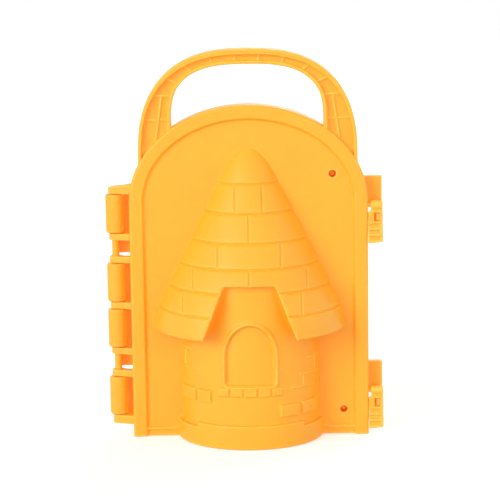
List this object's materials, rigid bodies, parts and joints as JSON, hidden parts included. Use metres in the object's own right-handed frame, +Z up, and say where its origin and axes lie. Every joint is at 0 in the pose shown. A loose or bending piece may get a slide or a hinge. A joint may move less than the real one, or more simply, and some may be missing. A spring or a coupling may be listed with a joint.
{
  "type": "snow mould",
  "caption": "Hinged two-half snow mould shaped as a small round tower with a cone roof, a carrying handle and side latches, in yellow plastic.",
  "frame": {"origin": "bottom centre of the whole closed mould's bounding box", "axes": "+Z up along the tower, -Y towards the front face, +X towards the latches; the hinge is at -X and the halves meet at y = 0"},
  "size_m": [0.11, 0.0684, 0.155],
  "materials": {
    "yellow_plastic": "satin moulded"
  },
  "bodies": {
    "rear_half": {"rear_shell": "yellow_plastic", "hinge_pin": "yellow_plastic"},
    "front_half": {"front_shell": "yellow_plastic", "upper_latch_pin": "yellow_plastic", "lower_latch_pin": "yellow_plastic"},
    "upper_latch": {"upper_latch": "yellow_plastic"},
    "lower_latch": {"lower_latch": "yellow_plastic"}
  },
  "joints": [
    {"name": "mould_hinge", "type": "hinge", "parent": "rear_half", "child": "front_half", "pos_m": [-0.05135, 0, 0.0532], "axis": [0, 0, -1], "range_deg": [0, 180]},
    {"name": "upper_latch_pivot", "type": "hinge", "parent": "front_half", "child": "upper_latch", "pos_m": [0.0528, -0.004, 0.09275], "axis": [-1, 0, 0], "range_deg": [0, 100]},
    {"name": "lower_latch_pivot", "type": "hinge", "parent": "front_half", "child": "lower_latch", "pos_m": [0.0528, -0.004, 0.01755], "axis": [-1, 0, 0], "range_deg": [0, 100]}
  ]
}
